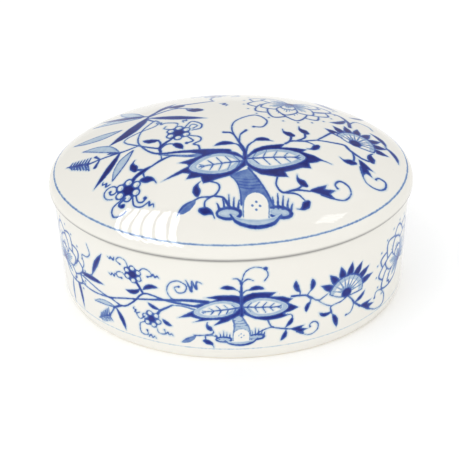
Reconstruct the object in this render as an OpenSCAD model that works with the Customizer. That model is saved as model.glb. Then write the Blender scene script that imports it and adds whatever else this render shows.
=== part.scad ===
// Oval porcelain trinket box: a straight-sided body on a low foot ring, and a domed lid that drops
// into its mouth on a locating flange. Origin at the middle of the foot, +X along the length, +Z up.
// Both pieces are turned as if round, to the length of the oval, and then drawn in to its width.
// A profile is drawn as [radius along the length, height].

/* [Oval] */
// Length over the lid rim
box_length = 120; // [100:1:140]
// Width over the lid rim
box_width = 96; // [84:1:112]

/* [Body] */
// Height of the body, up to the flat rim that the lid sits on
body_height = 40; // [30:0.5:55]
// How far the lid rim stands out past the top of the wall
lid_overhang = 1.2; // [0.6:0.1:2]
// How far the wall leans in from the rim down to the foot
wall_lean = 1.1; // [0.2:0.1:3]
// Thickness of the wall
wall = 4.2; // [3.4:0.1:5]
// Thickness of the floor
floor_thick = 3.2; // [2.6:0.1:4]
// Height at which the wall turns in towards the foot
foot_height = 4.5; // [4:0.1:6]
// Radius of that turn
foot_roll = 7.5; // [7:0.5:10]
// Width of the ring that the box stands on
foot_width = 2.8; // [2:0.1:3.5]
// Depth of the hollow under the floor
foot_hollow = 1.6; // [1:0.1:2.2]
// Radius of the cove between the wall and the floor, inside
cove = 6; // [4:0.5:8]

/* [Lid] */
// Radius of the rolled rim round the edge of the lid
rim_roll = 5.5; // [4.5:0.1:7]
// Upright stretch between that roll and the lower edge
rim_straight = 0.1; // [0.1:0.1:2]
// Slope of the lid where the rolled rim meets the shoulder, in degrees
rim_slope = 40; // [35:1:50]
// Radius of the shoulder
shoulder = 24; // [16:1:30]
// Slope of the lid where the shoulder meets the dome, in degrees
dome_slope = 24.5; // [20:0.5:28]
// Radius of the level spot in the middle of the dome
crest = 2; // [1:0.5:4]
// Thickness of the dome
dome_thick = 3.6; // [3:0.1:4.2]
// Depth of the flange that drops into the mouth of the body
flange_depth = 4; // [3:0.5:6]
// Thickness of the flange
flange_thick = 2.6; // [2:0.1:3.2]
// Gap between the flange and the wall, at the ends of the oval
flange_gap = 1.1; // [0.6:0.1:1.6]

/* [Edges] */
// Radius on the edges of the body rim and the lid rim
edge = 0.7; // [0.4:0.1:1]
// Radius on the foot ring and the lower edge of the flange
soft_edge = 0.5; // [0.3:0.1:0.8]

/* [Hidden] */
$fn = 180;
porcelain = [0.94, 0.93, 0.90];

half_length = box_length / 2;

// outer wall line, from the rim down to where it turns in to the foot
rim_x = half_length - lid_overhang;
foot_x = rim_x - wall_lean;
lean = atan2(wall_lean, body_height - foot_height);
roll_x = foot_x - foot_roll * cos(lean);
roll_z = foot_height + foot_roll * sin(lean);
// the turn runs into the small rounding of the foot ring, with one tangent
ring_reach = foot_roll - soft_edge;
ring_x = roll_x + sqrt(ring_reach ^ 2 - (roll_z - soft_edge) ^ 2);
ring_angle = atan2(roll_z - soft_edge, ring_x - roll_x);
hollow_x = ring_x - foot_width;
// the ring is turned this much too deep and then ground flat
ground_off = 0.3;
// the rounding stops short of level, so that the ground face meets it in a clean edge
last_angle = 75;

// inner face of the wall
inner_lean = wall_lean / (body_height - foot_height);
floor_z = foot_hollow + floor_thick;
function inner_x(z) = rim_x - wall - inner_lean * (body_height - z);
cove_x = inner_x(floor_z + cove) - cove;

// lid: rolled rim, shoulder and dome, three arcs with shared tangents
rim_z = body_height + edge + rim_straight;
rim_centre = [half_length - rim_roll, rim_z];
shoulder_start = rim_centre + rim_roll * [sin(rim_slope), cos(rim_slope)];
shoulder_centre = shoulder_start - shoulder * [sin(rim_slope), cos(rim_slope)];
dome_start = shoulder_centre + shoulder * [sin(dome_slope), cos(dome_slope)];
dome_radius = dome_start.x / sin(dome_slope);
dome_z = dome_start.y - dome_radius * cos(dome_slope);
// inside of the dome, from the crest out to the flange
vault_radius = dome_radius - dome_thick;
flange_x = inner_x(body_height) - flange_gap;
flange_inner_x = flange_x - flange_thick;
flange_z = body_height - flange_depth;
vault_slope = asin(flange_inner_x / vault_radius);
crest_slope = asin(crest / dome_radius);

// points along an arc: centre, radius, first and last angle, number of steps
function arc(c, r, a0, a1, steps) =
    [for (k = [0:steps]) let (a = a0 + (a1 - a0) * k / steps) c + r * [cos(a), sin(a)]];

// turns a profile to the length of the oval and draws it in to the width, a quarter at a time
module turned_oval() {
    for (quarter = [0:90:270])
        scale([1, box_width / box_length, 1])
            rotate([0, 0, quarter]) rotate_extrude(angle = 90) children();
}

// body section: flat rim, outer wall, foot ring, hollow underneath, floor, cove and inner wall
module body_profile() {
    polygon(concat(
        [[0, floor_z], [0, foot_hollow], [hollow_x, foot_hollow]],
        arc([hollow_x + soft_edge, soft_edge], soft_edge, 180, 180 + last_angle, 4),
        [[hollow_x + soft_edge, -ground_off], [ring_x, -ground_off]],
        arc([ring_x, soft_edge], soft_edge, -last_angle, -ring_angle, 4),
        arc([roll_x, roll_z], foot_roll, -ring_angle, -lean, 10),
        arc([rim_x - edge, body_height - edge], edge, 0, 90, 5),
        arc([inner_x(body_height) + edge, body_height - edge], edge, 90, 180, 5),
        arc([cove_x, floor_z + cove], cove, 0, -90, 10)
    ));
}

// lid section: dome, shoulder, rolled rim, flat seat, locating flange and the vault inside
module lid_profile() {
    polygon(concat(
        [[0, dome_z + dome_radius * cos(crest_slope)]],
        arc([0, dome_z], dome_radius, 90 - crest_slope, 90 - dome_slope, 14),
        arc(shoulder_centre, shoulder, 90 - dome_slope, 90 - rim_slope, 6),
        arc(rim_centre, rim_roll, 90 - rim_slope, 0, 8),
        arc([half_length - edge, body_height + edge], edge, 0, -90, 5),
        [[flange_x, body_height]],
        arc([flange_x - soft_edge, flange_z + soft_edge], soft_edge, 0, -90, 4),
        arc([flange_inner_x + soft_edge, flange_z + soft_edge], soft_edge, 270, 180, 4),
        arc([0, dome_z], vault_radius, 90 - vault_slope, 90 - crest_slope, 14),
        [[0, dome_z + vault_radius * cos(crest_slope)]]
    ));
}

module box_body() {
    color(porcelain) difference() {
        turned_oval() body_profile();
        translate([-half_length, -half_length, -2 * ground_off])
            cube([box_length, box_length, 2 * ground_off]);
    }
}

module lid() {
    color(porcelain) turned_oval() lid_profile();
}

box_body();
lid();
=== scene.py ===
import math

import bpy
import numpy as np
from mathutils import Matrix, Vector


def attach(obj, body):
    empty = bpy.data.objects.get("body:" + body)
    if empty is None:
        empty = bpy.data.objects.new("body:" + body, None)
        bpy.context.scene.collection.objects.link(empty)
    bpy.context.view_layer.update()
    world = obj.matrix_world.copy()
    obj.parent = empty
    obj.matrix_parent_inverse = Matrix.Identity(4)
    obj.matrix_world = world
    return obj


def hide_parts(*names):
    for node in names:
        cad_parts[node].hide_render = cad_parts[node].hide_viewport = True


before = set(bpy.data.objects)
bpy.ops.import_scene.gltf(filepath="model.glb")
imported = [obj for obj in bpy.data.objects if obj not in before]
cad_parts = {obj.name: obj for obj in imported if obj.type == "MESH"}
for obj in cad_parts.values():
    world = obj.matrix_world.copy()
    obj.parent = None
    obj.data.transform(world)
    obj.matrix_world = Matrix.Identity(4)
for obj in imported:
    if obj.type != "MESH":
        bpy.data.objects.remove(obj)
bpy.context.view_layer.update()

mm = 0.001      # the box and its painting are drawn in millimetres, the studio in metres

ovalShape = {
    "narrow": 0.8,          # width of the oval over its length
    "fineSteps": 896,       # steps round the painted faces
    "finePitch": 0.43,      # distance between the rings that carry the painting
    "sharpAngle": 38,       # edges sharper than this, in degrees, stay crisp
}


def spoke(angle, r=1.0):
    # the point at this angle in degrees, r away from the middle
    return r * math.cos(math.radians(angle)), r * math.sin(math.radians(angle))


def arcPoints(centre, radius, first, last, steps):
    # points on an arc, angles in degrees
    angles = np.radians(np.linspace(first, last, steps + 1))
    return [(centre[0] + radius * math.cos(a), centre[1] + radius * math.sin(a)) for a in angles]


def spreadPoints(points, pitch):
    # the same line with a point every pitch or so
    made = [points[0]]
    for a, b in zip(points[:-1], points[1:]):
        length = math.hypot(b[0] - a[0], b[1] - a[1])
        cuts = max(1, int(math.ceil(length / pitch)))
        for k in range(1, cuts + 1):
            made.append((a[0] + (b[0] - a[0]) * k / cuts, a[1] + (b[1] - a[1]) * k / cuts))
    return made


def evenAngles(count):
    # angles that step evenly along the edge of the oval
    trials = 14400
    t = np.linspace(0, 2 * math.pi, trials + 1)
    step = np.hypot(np.diff(np.cos(t)), ovalShape["narrow"] * np.diff(np.sin(t)))
    run = np.concatenate([[0], np.cumsum(step)])
    return np.interp(np.linspace(0, run[-1], count + 1)[:-1], run, t)


def joinRings(a, b, na, nb):
    # faces between two rings that start at vertices a and b and have na and nb steps
    if na == 1:
        return [(a, b + i, b + (i + 1) % nb) for i in range(nb)]
    if nb == 1:
        return [(a + i, b, a + (i + 1) % na) for i in range(na)]
    if na == nb:
        return [(a + i, b + i, b + (i + 1) % nb, a + (i + 1) % na) for i in range(na)]
    # one ring has twice the steps of the other
    few, many, steps = (a, b, na) if na < nb else (b, a, nb)
    faces = []
    for i in range(steps):
        j = (i + 1) % steps
        odd = many + 2 * i + 1
        for p, q, r in ((few + i, odd - 1, odd), (few + i, odd, few + j), (few + j, odd, many + 2 * j)):
            faces.append((p, q, r) if na < nb else (p, r, q))
    return faces


def turnedOval(name, rings):
    # rings are (radius along the length, height, steps round); a radius of 0 is a single point
    tables = {}
    verts = []
    starts = []
    for radius, height, steps in rings:
        starts.append(len(verts))
        if radius == 0:
            verts.append((0, 0, height))
            continue
        if steps not in tables:
            t = evenAngles(steps)
            tables[steps] = np.column_stack([np.cos(t), ovalShape["narrow"] * np.sin(t)])
        flat = tables[steps] * radius
        verts.extend(zip(flat[:, 0], flat[:, 1], [height] * steps))
    counts = [steps if radius else 1 for radius, height, steps in rings]
    faces = []
    for j in range(len(rings) - 1):
        faces.extend(joinRings(starts[j], starts[j + 1], counts[j], counts[j + 1]))
    mesh = bpy.data.meshes.new(name)
    mesh.from_pydata([Vector(v) * mm for v in verts], [], faces)
    mesh.update()
    piece = bpy.data.objects.new(name, mesh)
    bpy.context.scene.collection.objects.link(piece)
    mesh.polygons.foreach_set("use_smooth", [True] * len(mesh.polygons))
    mesh.set_sharp_from_angle(angle=math.radians(ovalShape["sharpAngle"]))
    return piece


# The painting is kept at the vertices as distances to the painted edges, plus inside and minus
# outside, in three layers: dark ink, thinner blue and a pale wash.
paintLayers = ("ink", "blue", "wash")
noPaint = -3.0          # the distance kept where no stroke comes near
strokeReach = 1.6       # how far out from a stroke its distance is kept
shapeReach = 1.8        # the same for a filled shape
outOfReach = -500.0     # vertices that take no paint are set down here


def newPainting(points, around=0.0):
    # around is the length of the way round, for a painting that meets itself
    art = {layer: np.full(len(points), noPaint) for layer in paintLayers}
    art.update(points=points, around=around, size=1.0)
    art["move"] = lambda way: np.asarray(way, float).reshape(-1, 2)
    return art


def at(on, x, y, turn=0.0, size=1.0, tall=1.0):
    # where a motif goes: turned in degrees, sized, and drawn taller or lower
    c, s = spoke(turn)

    def move(way):
        u, v = (np.asarray(way, float).reshape(-1, 2) * size * (1.0, tall)).T
        return on["move"](np.column_stack([x + u * c - v * s, y + u * s + v * c]))

    return {**on, "move": move, "size": on["size"] * size}


def easyCurve(way, closed=False, steps=6):
    # a smooth line through the points
    p = np.asarray(way, float)
    if closed:
        q = np.vstack([p[-1], p, p[0], p[1]])
    else:
        q = np.vstack([2 * p[0] - p[1], p, 2 * p[-1] - p[-2]])
    made = []
    for a, b, c, d in zip(q[:-3], q[1:-2], q[2:-1], q[3:]):
        for k in range(steps):
            t = k / steps
            made.append(0.5 * (2 * b + (c - a) * t + (2 * a - 5 * b + 4 * c - d) * t * t
                               + (3 * b - a - 3 * c + d) * t ** 3))
    if not closed:
        made.append(q[-2])
    return np.array(made)


def pointsNear(on, path, reach):
    # vertices close to the stroke, and where they are, unrolled round the oval if need be
    p = on["points"]
    middle = (path[:, 0].min() + path[:, 0].max()) / 2
    along = p[:, 0]
    if on["around"]:
        half = on["around"] / 2
        along = (along - middle + half) % on["around"] - half + middle
    low = path.min(0) - reach
    high = path.max(0) + reach
    near = np.nonzero((along > low[0]) & (along < high[0]) & (p[:, 1] > low[1]) & (p[:, 1] < high[1]))[0]
    return near, np.column_stack([along[near], p[near, 1]])


def edgeDistance(p, a, b, ra, rb):
    # how far inside (+) or outside (-) each point is of the run of tapered segments
    run = b - a
    length = np.maximum((run ** 2).sum(1), 1e-9)
    rel = p[:, None, :] - a[None]
    t = np.clip((rel * run[None]).sum(2) / length[None], 0, 1)
    gap = np.hypot(rel[..., 0] - t * run[None, :, 0], rel[..., 1] - t * run[None, :, 1])
    return (ra[None] + (rb - ra)[None] * t - gap).max(1)


def brush(on, way, width, layer="ink", smooth=True):
    # a stroke along the way; width is one value, or several spaced evenly along it
    path = on["move"](way)
    if smooth and len(path) > 2:
        path = easyCurve(path)
    widths = np.atleast_1d(np.asarray(width, float)) * on["size"] / 2
    if len(widths) > 1:
        run = np.concatenate([[0], np.cumsum(np.hypot(*np.diff(path, axis=0).T))])
        widths = np.interp(run / run[-1] * (len(widths) - 1), np.arange(len(widths)), widths)
    else:
        widths = np.full(len(path), widths[0])
    near, p = pointsNear(on, path, strokeReach + widths.max())
    if len(near):
        inside = edgeDistance(p, path[:-1], path[1:], widths[:-1], widths[1:])
        on[layer][near] = np.maximum(on[layer][near], inside)


def shapeDistance(on, outline, smooth):
    a = on["move"](outline)
    if smooth:
        a = easyCurve(a, closed=True)
    near, p = pointsNear(on, a, shapeReach)
    if not len(near):
        return near, None
    b = np.roll(a, -1, axis=0)
    zero = np.zeros(len(a))
    gap = -edgeDistance(p, a, b, zero, zero)
    rise = (a[None, :, 1] > p[:, None, 1]) != (b[None, :, 1] > p[:, None, 1])
    drop = np.where(np.abs(b[:, 1] - a[:, 1]) < 1e-9, 1e-9, b[:, 1] - a[:, 1])
    cross = a[None, :, 0] + (p[:, None, 1] - a[None, :, 1]) * (b - a)[None, :, 0] / drop[None]
    within = (rise & (p[:, None, 0] < cross)).sum(1) % 2 == 1
    return near, np.where(within, gap, -gap)


def fill(on, outline, layer="blue", smooth=True):
    near, inside = shapeDistance(on, outline, smooth)
    if len(near):
        on[layer][near] = np.maximum(on[layer][near], inside)


def wipe(on, outline, layers=paintLayers):
    # takes the colour off inside the outline
    near, inside = shapeDistance(on, outline, True)
    if len(near):
        for layer in layers:
            on[layer][near] = np.minimum(on[layer][near], -inside)


def ring(x, y, across, high=None):
    # an oval outline
    spots = [spoke(36 * k) for k in range(10)]
    return [(x + across / 2 * c, y + (high or across) / 2 * s) for c, s in spots]


def dot(on, x, y, across, layer="ink"):
    brush(on, [(x, y), (x + 0.01, y)], across, layer, smooth=False)


# Motifs, each drawn in a small frame of its own.

def curl(on, way, width=0.55, blob=1.1):
    # a tendril that ends in a blob
    brush(on, way, [width * 0.9, width, width * 1.1, width])
    if blob:
        dot(on, *way[-1], blob)


def spiral(on, x, y, start, turns, first, last):
    # winds in from radius first to radius last; turns below zero wind clockwise
    count = max(6, int(abs(turns) * 12))
    way = []
    for k in range(count + 1):
        u, v = spoke(start + 360 * turns * k / count, first + (last - first) * k / count)
        way.append((x + u, y + v))
    brush(on, way, [0.44, 0.55, 0.66])
    dot(on, *way[-1], 1.1)


def darkLeaf(on, base, tip, width, bend=0.0, layer="ink", tail=0.0):
    # one loaded stroke: thin, full, thin
    base = np.array(base, float)
    tip = np.array(tip, float)
    run = tip - base
    side = np.array([-run[1], run[0]]) * bend
    way = [base, base + run * 0.3 + side * 0.8, base + run * 0.65 + side * 0.9, tip]
    brush(on, way, [0.35, width * 0.75, width, width * 0.72, 0.15], layer)
    if tail:
        brush(on, [tip, tip + run * tail - side * tail], [0.4, 0.2], layer)


def paleLeaf(on, base, tip, width, bend=0.0):
    # outline darker on one side than on the other, and thin colour inside
    base = np.array(base, float)
    tip = np.array(tip, float)
    run = tip - base
    turned = np.array([-run[1], run[0]])
    half = turned / np.hypot(*run) * width / 2

    def side(way):
        return [base + run * t + turned * bend * 4 * t * (1 - t) + half * way * w
                for t, w in ((0.15, 0.5), (0.4, 1.0), (0.7, 0.8), (0.9, 0.3))[::way]]

    left = side(1)
    right = side(-1)
    fill(on, [base] + left + [tip] + right, "wash")
    brush(on, [base] + left + [tip], [0.585, 0.45, 0.54])
    brush(on, [tip] + right + [base], [0.45, 0.45, 0.675], "blue")


def bud(on, x, y, turn, size=1.0):
    # a comma: a full head at x, y and a flick that leaves it at the angle turn
    flick = at(on, x, y, turn, size)
    brush(flick, [(-1.2, -0.4), (0.1, 0), (1.4, 0.4), (2.8, 0.2), (3.9, -0.6)],
          [1.8, 2.9, 1.9, 0.6 / size, 0.35 / size])


def squiggle(on, x, y, turn, count=3, size=1.0):
    # the small waves that a tendril runs out in
    way = [(0.75 * k, (0.75 if k % 2 else -0.55) * (1 - 0.1 * k)) for k in range(count * 2 + 1)]
    brush(at(on, x, y, turn, size), way, [0.5 / size, 0.75, 0.6, 0.45 / size])


def berryCluster(on, berry=2.0):
    # a dark heart with six ringed berries round it
    away = 2.9
    spots = [spoke(60 * k + 30, away) for k in range(6)]
    for x, y in spots + [(0, 0)]:
        fill(on, ring(x, y, berry + 1.1 if x or y else away * 1.5), "ink")
    for k, (x, y) in enumerate(spots):
        wipe(on, ring(x, y, berry * 0.92))
        brush(on, [(x + 0.25, y - berry * 0.3), (x + berry * 0.3, y)], 0.5, "wash")
        brush(on, [spoke(60 * k), spoke(60 * k, away * 1.12)], [1.6, 0.8])


def aster(on, tips=8, span=160, fan=6.4, reach=11.0):
    # a half-open flower: dark seeded heart, pale petals in a fan, heavy dark tips behind them
    for k in range(tips):
        turn = 90 + span / 2 - span * k / (tips - 1)
        brush(on, [spoke(turn, fan * 0.8), spoke(turn, fan * 1.12), spoke(turn, reach)], [2.6, 2.7, 0.3])
    rim = [spoke(a, fan) for a in range(-4, 185, 12)]
    wipe(on, rim)
    brush(on, [(x * 0.86, y * 0.86) for x, y in rim], 1.5, "wash")
    brush(on, rim, [0.5, 0.6, 0.5])
    brush(on, [rim[-1], (-fan * 0.4, -1.2), (fan * 0.2, -1.4), (fan * 0.6, -1.0), rim[0]], [0.5, 0.6, 0.5])
    for k in range(1, 10):
        brush(on, [(0, 0), spoke(-4 + 18.8 * k, fan * 0.97)], [0.7, 0.45], "blue")
    fill(on, ring(0, 0, 4.2, 3.99), "ink")


def petal(on, root, crown, width, lobes=3):
    # one broad petal with a scalloped crown, shaded from its root
    root = np.array(root, float)
    run = np.array(crown, float) - root
    side = np.array([-run[1], run[0]]) / np.hypot(*run)

    def spot(t, w):
        return root + run * t + side * width * w

    edge = [root, spot(0.3, 0.34), spot(0.66, 0.5)]
    for k in range(lobes):
        u = 0.46 - 0.92 * (k + 0.5) / lobes
        edge.append(spot(1.03 - 0.6 * u * u, u))
        if k < lobes - 1:
            v = 0.46 - 0.92 * (k + 1.0) / lobes
            edge.append(spot(0.94 - 0.6 * v * v, v))
    edge += [spot(0.66, -0.5), spot(0.3, -0.34)]
    wipe(on, edge)
    shade = ((0.05, 0), (0.35, 0.26), (0.5, 0.12), (0.62, 0), (0.5, -0.12), (0.35, -0.26))
    fill(on, [spot(t, w) for t, w in shade], "wash")
    brush(on, edge + [root], [0.6, 0.6, 0.75, 0.6, 0.6])
    for w, far in ((0, 0.74), (-0.13, 0.66), (0.13, 0.66), (-0.26, 0.52), (0.26, 0.52)):
        brush(on, [spot(0.12, w * 0.6), spot(far, w)], [0.6, 0.35], "blue")


def peony(on, reach=10.0):
    # a full flower seen from the side: outer petals first, heart last
    for k in range(13):
        dot(on, *spoke(-20 + 220 * k / 12, reach * 1.13), 0.75)
    for turn in (-12, 16, 46, 138, 166, 192, 76, 108):
        petal(on, (0, 0), spoke(turn, reach), reach * 0.62, 1)
    for turn in (34, 146, 90):
        petal(on, (0, -0.5), spoke(turn, reach * 0.74), reach * 0.5, 1)
    petal(on, (0, -1.0), (0, reach * 0.36), reach * 0.36)
    for side in (-1, 1):
        petal(on, (0, -1.0), (side * reach * 0.7, -reach * 0.32), reach * 0.4, 2)
    fill(on, ring(0, -1.6, 3.4, 2.4), "ink")


def herringbone(on, base, tip, spread, pairs):
    base = np.array(base, float)
    tip = np.array(tip, float)
    run = tip - base
    across = np.array([-run[1], run[0]]) / np.hypot(*run)
    brush(on, [base, tip], [0.7, 0.45])
    for k in range(pairs):
        t = (k + 0.35) / pairs
        start = base + run * t
        full = math.sin(math.pi * min(1, 0.25 + 0.75 * t)) * spread
        for side in (-1, 1):
            brush(on, [start, start + run * 0.11 + across * side * full], [0.5, 0.4])


def bigLeaf(on, border, blade, base, tip, spread, pairs):
    # a heavy jagged border round a pale blade with herringbone veins
    fill(on, border, "ink", smooth=False)
    wipe(on, blade)
    fill(on, blade, "wash")
    middle = np.mean(blade, axis=0)
    wipe(on, [middle * 0.26 + np.array(spot) * 0.74 for spot in blade], ("wash",))
    herringbone(on, base, tip, spread, pairs)


def grass(on, x, y, lean, high):
    brush(on, [(x, y), (x + lean * 0.4, y + high * 0.6), (x + lean, y + high)], [0.9, 0.7, 0.4])


def tree(on):
    # two great leaves on a ringed stem; the origin is where they meet
    border = [(0.4, 0.6), (-2.8, 3.4), (-5.4, 4.4), (-8, 4.8), (-11.4, 4.6), (-15, 5), (-19.6, 5.2),
              (-17, 3.8), (-14.2, 2.8), (-16.6, 1.4), (-21.4, -0.1), (-18.6, -1), (-18, -1.8),
              (-20.4, -3.2), (-23, -4.8), (-26.4, -7), (-22.2, -5.6), (-19.6, -4.6), (-17.6, -5.2),
              (-18.6, -7.3), (-14, -6.8), (-13.2, -9.4), (-10.8, -8.8), (-8.4, -7.8), (-4, -6.4),
              (0.2, -2.4)]
    blade = [(-1, -0.2), (-4, 2), (-8.6, 2.8), (-13.4, 1.4), (-17.6, -2.6), (-14.8, -4.8), (-9.8, -5.6),
             (-4.6, -4.4)]
    bigLeaf(on, border, blade, (-0.8, -0.4), (-14.6, -2.6), 3, 5)
    border = [(-0.4, 1), (2.6, 5.2), (5, 6.8), (7.6, 7.8), (12.6, 9.2), (11.4, 7.2), (15, 7.6),
              (19.6, 7.8), (18, 6.2), (21.6, 5.4), (24.4, 3.9), (22.6, 2.4), (20, 1.2), (20.6, -0.9),
              (17.8, -1.2), (14.6, -3), (12.4, -4), (13.4, -5.8), (9.4, -6.3), (4.6, -5.8), (1.2, -3.6),
              (-0.4, -1.2)]
    blade = [(0.5, 0.5), (4.6, 4.3), (10.2, 5.9), (15.6, 5.6), (18.7, 3.6), (16.2, 0.7), (11.4, -1.8),
             (6.4, -3.3), (2.6, -2.5)]
    bigLeaf(on, border, blade, (0.8, 0.6), (17.4, 3.4), 3.2, 5)
    brush(on, [(22.4, 3.9), (25, 3.5), (27.2, 2.8)], [1.4, 0.5, 0.3])
    stem = [(-5, -6.2), (-2.8, -8.8), (-1.6, -12.4), (-1.2, -17), (8.4, -17), (7, -13.2), (4.4, -8.6),
            (1, -3.6), (-1.6, -4.6)]
    fill(on, stem, "blue", smooth=False)
    brush(on, stem[:4], [0.7, 0.6, 0.7])
    brush(on, [(8.6, -17), (7, -13.2), (4.4, -8.6), (0.9, -3.4)], [0.7, 0.8, 0.9])
    for k in range(4):
        y = -7.6 - 1.1 * k
        brush(on, [(-3 + 0.4 * k, y), (0.8, y - 0.4), (3.6 + 0.6 * k, y + 0.1)], 0.65)


def bank(on):
    # what the stem stands on: two pale lobes with grass, a bowl, and an open arch with four dots in it
    for x, y in ((-5, -2.8), (10.4, -1.6)):
        lobe = ring(x, y, 7.4, 3.4)
        wipe(on, lobe)
        fill(on, ring(x, y, 6.2, 2.6), "wash")
        brush(on, lobe + lobe[:1], [1.3, 0.9, 1.3])
    bowl = [(-4.6, -3.2), (-2.4, -5.6), (3, -6.8), (8.4, -5.4), (11, -2.4), (7, -4), (3, -4.6), (-1, -4.4)]
    wipe(on, bowl)
    fill(on, bowl, "wash")
    brush(on, bowl[:5], [0.7, 1.3, 1.3, 1.3, 0.7])
    arch = [(-0.6, -3.8), (-0.6, 0.6), (0.6, 3.4), (3.3, 4.6), (6, 3.4), (7.2, 0.6), (7.2, -3.6),
            (3.3, -4.4)]
    wipe(on, arch)
    brush(on, arch[:7], [0.45, 0.5, 0.45], "blue")
    for x, y in ((3.3, 1.2), (2.1, -0.1), (4.5, -0.1), (3.3, -1.4)):
        dot(on, x, y, 0.85, "blue")
    for x, lean, high in ((-8, -0.8, 2), (-6.4, -0.6, 3.4), (-5, -0.1, 4.8), (-3.6, 0.1, 3.8),
                          (-2.2, 0.3, 3)):
        grass(on, x, -1.4, lean, high)
    for x, lean, high in ((8.6, -0.3, 3.6), (10, -0.1, 5), (11.4, 0.2, 4.4), (12.8, 0.4, 3.6),
                          (14, 0.5, 2.2)):
        grass(on, x, -0.4, lean, high)


def wallTree(on):
    # the same tree as it is drawn on the wall, lower and more level
    border = [(4, 26), (1.6, 26.7), (-3.2, 26.6), (-7.8, 25.3), (-3.8, 24.8), (-7.6, 23.4), (-12.8, 21.6),
              (-9.8, 21.1), (-12.6, 19.2), (-16.8, 16.2), (-12.2, 17.3), (-9.4, 16.6), (-11.8, 15.1),
              (-6.6, 16.4), (-3, 16.7), (-5.4, 14.1), (-0.6, 16), (4, 18.8)]
    blade = [(3.4, 22.4), (-0.4, 24.2), (-5.4, 23.5), (-11, 19.8), (-9.4, 17.8), (-4.8, 17.7), (0.4, 19)]
    bigLeaf(on, border, blade, (3.2, 21.6), (-8.6, 19.6), 1.9, 5)
    border = [(4, 26), (7.5, 27.3), (11, 27.2), (15.2, 26.6), (13.4, 25.2), (17, 24.7), (20.4, 23),
              (18.8, 21.8), (22.6, 19.2), (19.8, 18.1), (17.4, 17.7), (19.2, 16.7), (16, 15.9), (12, 15.7),
              (8, 16.8), (4, 19.2)]
    blade = [(4.6, 22.4), (8, 24.7), (12.6, 24.4), (17, 22.4), (18.8, 20.3), (16.8, 18.4), (11.8, 17.6),
             (7.2, 18.5)]
    bigLeaf(on, border, blade, (4.8, 21.8), (16.8, 20.6), 2.1, 5)
    stem = [(1, 17.4), (1.6, 14.6), (1.2, 11), (1, 9), (6.8, 9), (6.4, 12.8), (5.2, 15.6), (3.8, 18.4)]
    fill(on, stem, "wash", smooth=False)
    brush(on, stem[:4], [0.7, 0.5], "blue")
    brush(on, stem[4:], [0.5, 0.7], "blue")
    for k in range(3):
        brush(on, [(1.4, 16.6 - 1.1 * k), (3.2, 16.2 - 1.1 * k), (5 + 0.3 * k, 16.6 - 1.1 * k)], 0.45,
              "blue")
    brush(on, [(4, 18.6), (4, 22), (4, 26), (4.1, 31.4)], [1.7, 1.3, 1.1, 0.6])


def crownSprig(on):
    # what grows up out of the middle of the two leaves
    brush(on, [(-0.2, 0.4), (-0.5, 4.4), (-2.4, 9)], [1.6, 1.3, 0.8])
    brush(on, [(-0.4, 3.4), (-2.4, 7), (-4, 7.8)], [0.9, 0.6])
    darkLeaf(on, (-3.4, 7.6), (-10.2, 6.6), 2.2, -0.14)
    brush(on, [(-0.1, 3), (0.8, 7), (3.2, 9.8)], [0.9, 0.6])
    darkLeaf(on, (2.6, 9.6), (8, 10), 2.2, 0.16, tail=0.12)
    brush(on, [(-2.2, 8.6), (-4.4, 13.2), (-7.2, 14)], [0.9, 0.7, 1.1])
    brush(on, [(-2.2, 8.6), (-1.8, 12.6), (0, 15.3)], [0.8, 0.6, 1.1])
    curl(on, [(-2.4, 9), (-4.6, 15.6), (-3.4, 21.4), (2.6, 26), (6.6, 22.4), (5.4, 18), (2.4, 17.6)], 0.6,
         1.2)


def sideSprig(on):
    # stem with three buds, running out to the right from the origin
    brush(on, [(0, 0), (2, 1.8), (5.4, 2.6), (10.2, 4.6)], [0.9, 0.7, 0.6])
    brush(on, [(1.4, 1.4), (1.9, 3.6), (1.6, 5)], [0.8, 0.9])
    bud(on, 1.4, 5.6, 138, 0.9)
    brush(on, [(3.4, 2.2), (6.2, 4.6), (6.4, 7)], [0.6, 0.9])
    bud(on, 6.2, 8.4, 126, 0.9)
    brush(on, [(3, 2.1), (6.8, 2.6), (9.4, 1.6)], [0.6, 0.6])
    bud(on, 9.8, 0.5, 215, 0.85)


def acanthus(on, loop=True):
    # a dark leaf with three lobes, whose lower edge runs on into an open loop
    fill(on, [(0, 0), (1.6, 1.1), (3.4, 1.9), (6.6, 3), (5.4, 1.2), (9.2, 1.1), (7, -0.5), (8.2, -2),
              (5.8, -1.8), (3.4, -1), (1.4, -0.4)], "ink", smooth=False)
    brush(on, [(1.2, 0.3), (4.4, 0.8), (6.4, 0.5)], [0.5, 1, 0.4], "blue")
    if loop:
        brush(on, [(4, -1.1), (7.4, -2.1), (11.2, -2.2), (13.7, 0.4), (13.3, 3.4), (10.9, 4.9), (9.1, 3.4),
                   (9.5, 1.8)], [0.9, 0.55, 0.6, 0.8, 0.7])
        dot(on, 9.6, 1.9, 1)


def feather(on):
    # a comb-like leaf: a dark rib, short teeth on one side and long ones on the other
    brush(on, [(0, 0), (4, 0.4), (8.4, 1.2)], [0.7, 1.2, 0.5])
    for k in range(7):
        x = 0.9 + 1.05 * k
        y = 0.1 + 0.14 * k
        brush(on, [(x, y), (x - 1.6, y - 3.6 + 0.25 * k)], [0.8, 0.5])
        brush(on, [(x, y), (x - 0.5, y + 2.8 - 0.15 * k)], [0.9, 0.5])


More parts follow.
